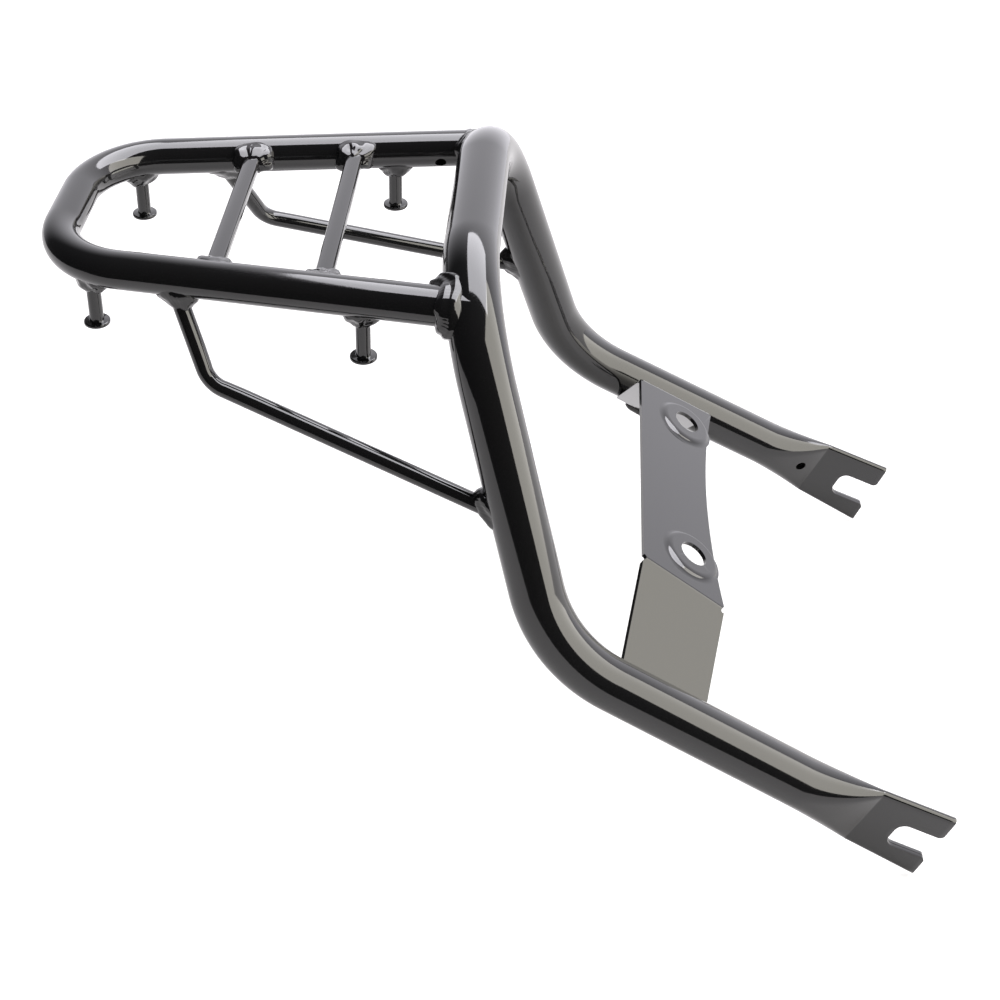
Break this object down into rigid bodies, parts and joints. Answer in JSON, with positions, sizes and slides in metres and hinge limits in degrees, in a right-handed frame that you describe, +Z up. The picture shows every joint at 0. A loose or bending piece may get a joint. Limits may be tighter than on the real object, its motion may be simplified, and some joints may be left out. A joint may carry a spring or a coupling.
{
  "type": "motorcycle luggage rack",
  "caption": "Welded steel rear luggage rack with a bent hoop, a tapering rail deck with crossbars, luggage pegs, stays, a folded bridge plate and slotted forks.",
  "frame": {"origin": "midway between the two fork slots, on the axis of the bolts that seat in them", "axes": "+X forward to the open ends of the forks, +Y to the left of the motorcycle, +Z up, with the rail deck level"},
  "size_m": [0.4401, 0.2938, 0.2909],
  "materials": {
    "black_paint": "gloss"
  },
  "bodies": {
    "root": {"hoop_tube": "black_paint", "rail_tube": "black_paint", "bridge_plate": "black_paint", "crossbar_rear": "black_paint", "crossbar_front": "black_paint", "peg_rear_left": "black_paint", "peg_front_left": "black_paint", "stay_left": "black_paint", "peg_rear_right": "black_paint", "peg_front_right": "black_paint", "stay_right": "black_paint", "weld_rail_left": "black_paint", "weld_plate_left": "black_paint", "weld_stay_top_left": "black_paint", "weld_stay_foot_left": "black_paint", "weld_crossbar_rear_left": "black_paint", "weld_crossbar_front_left": "black_paint", "weld_peg_rear_left": "black_paint", "weld_peg_front_left": "black_paint", "weld_rail_right": "black_paint", "weld_plate_right": "black_paint", "weld_stay_top_right": "black_paint", "weld_stay_foot_right": "black_paint", "weld_crossbar_rear_right": "black_paint", "weld_crossbar_front_right": "black_paint", "weld_peg_rear_right": "black_paint", "weld_peg_front_right": "black_paint"}
  },
  "joints": []
}
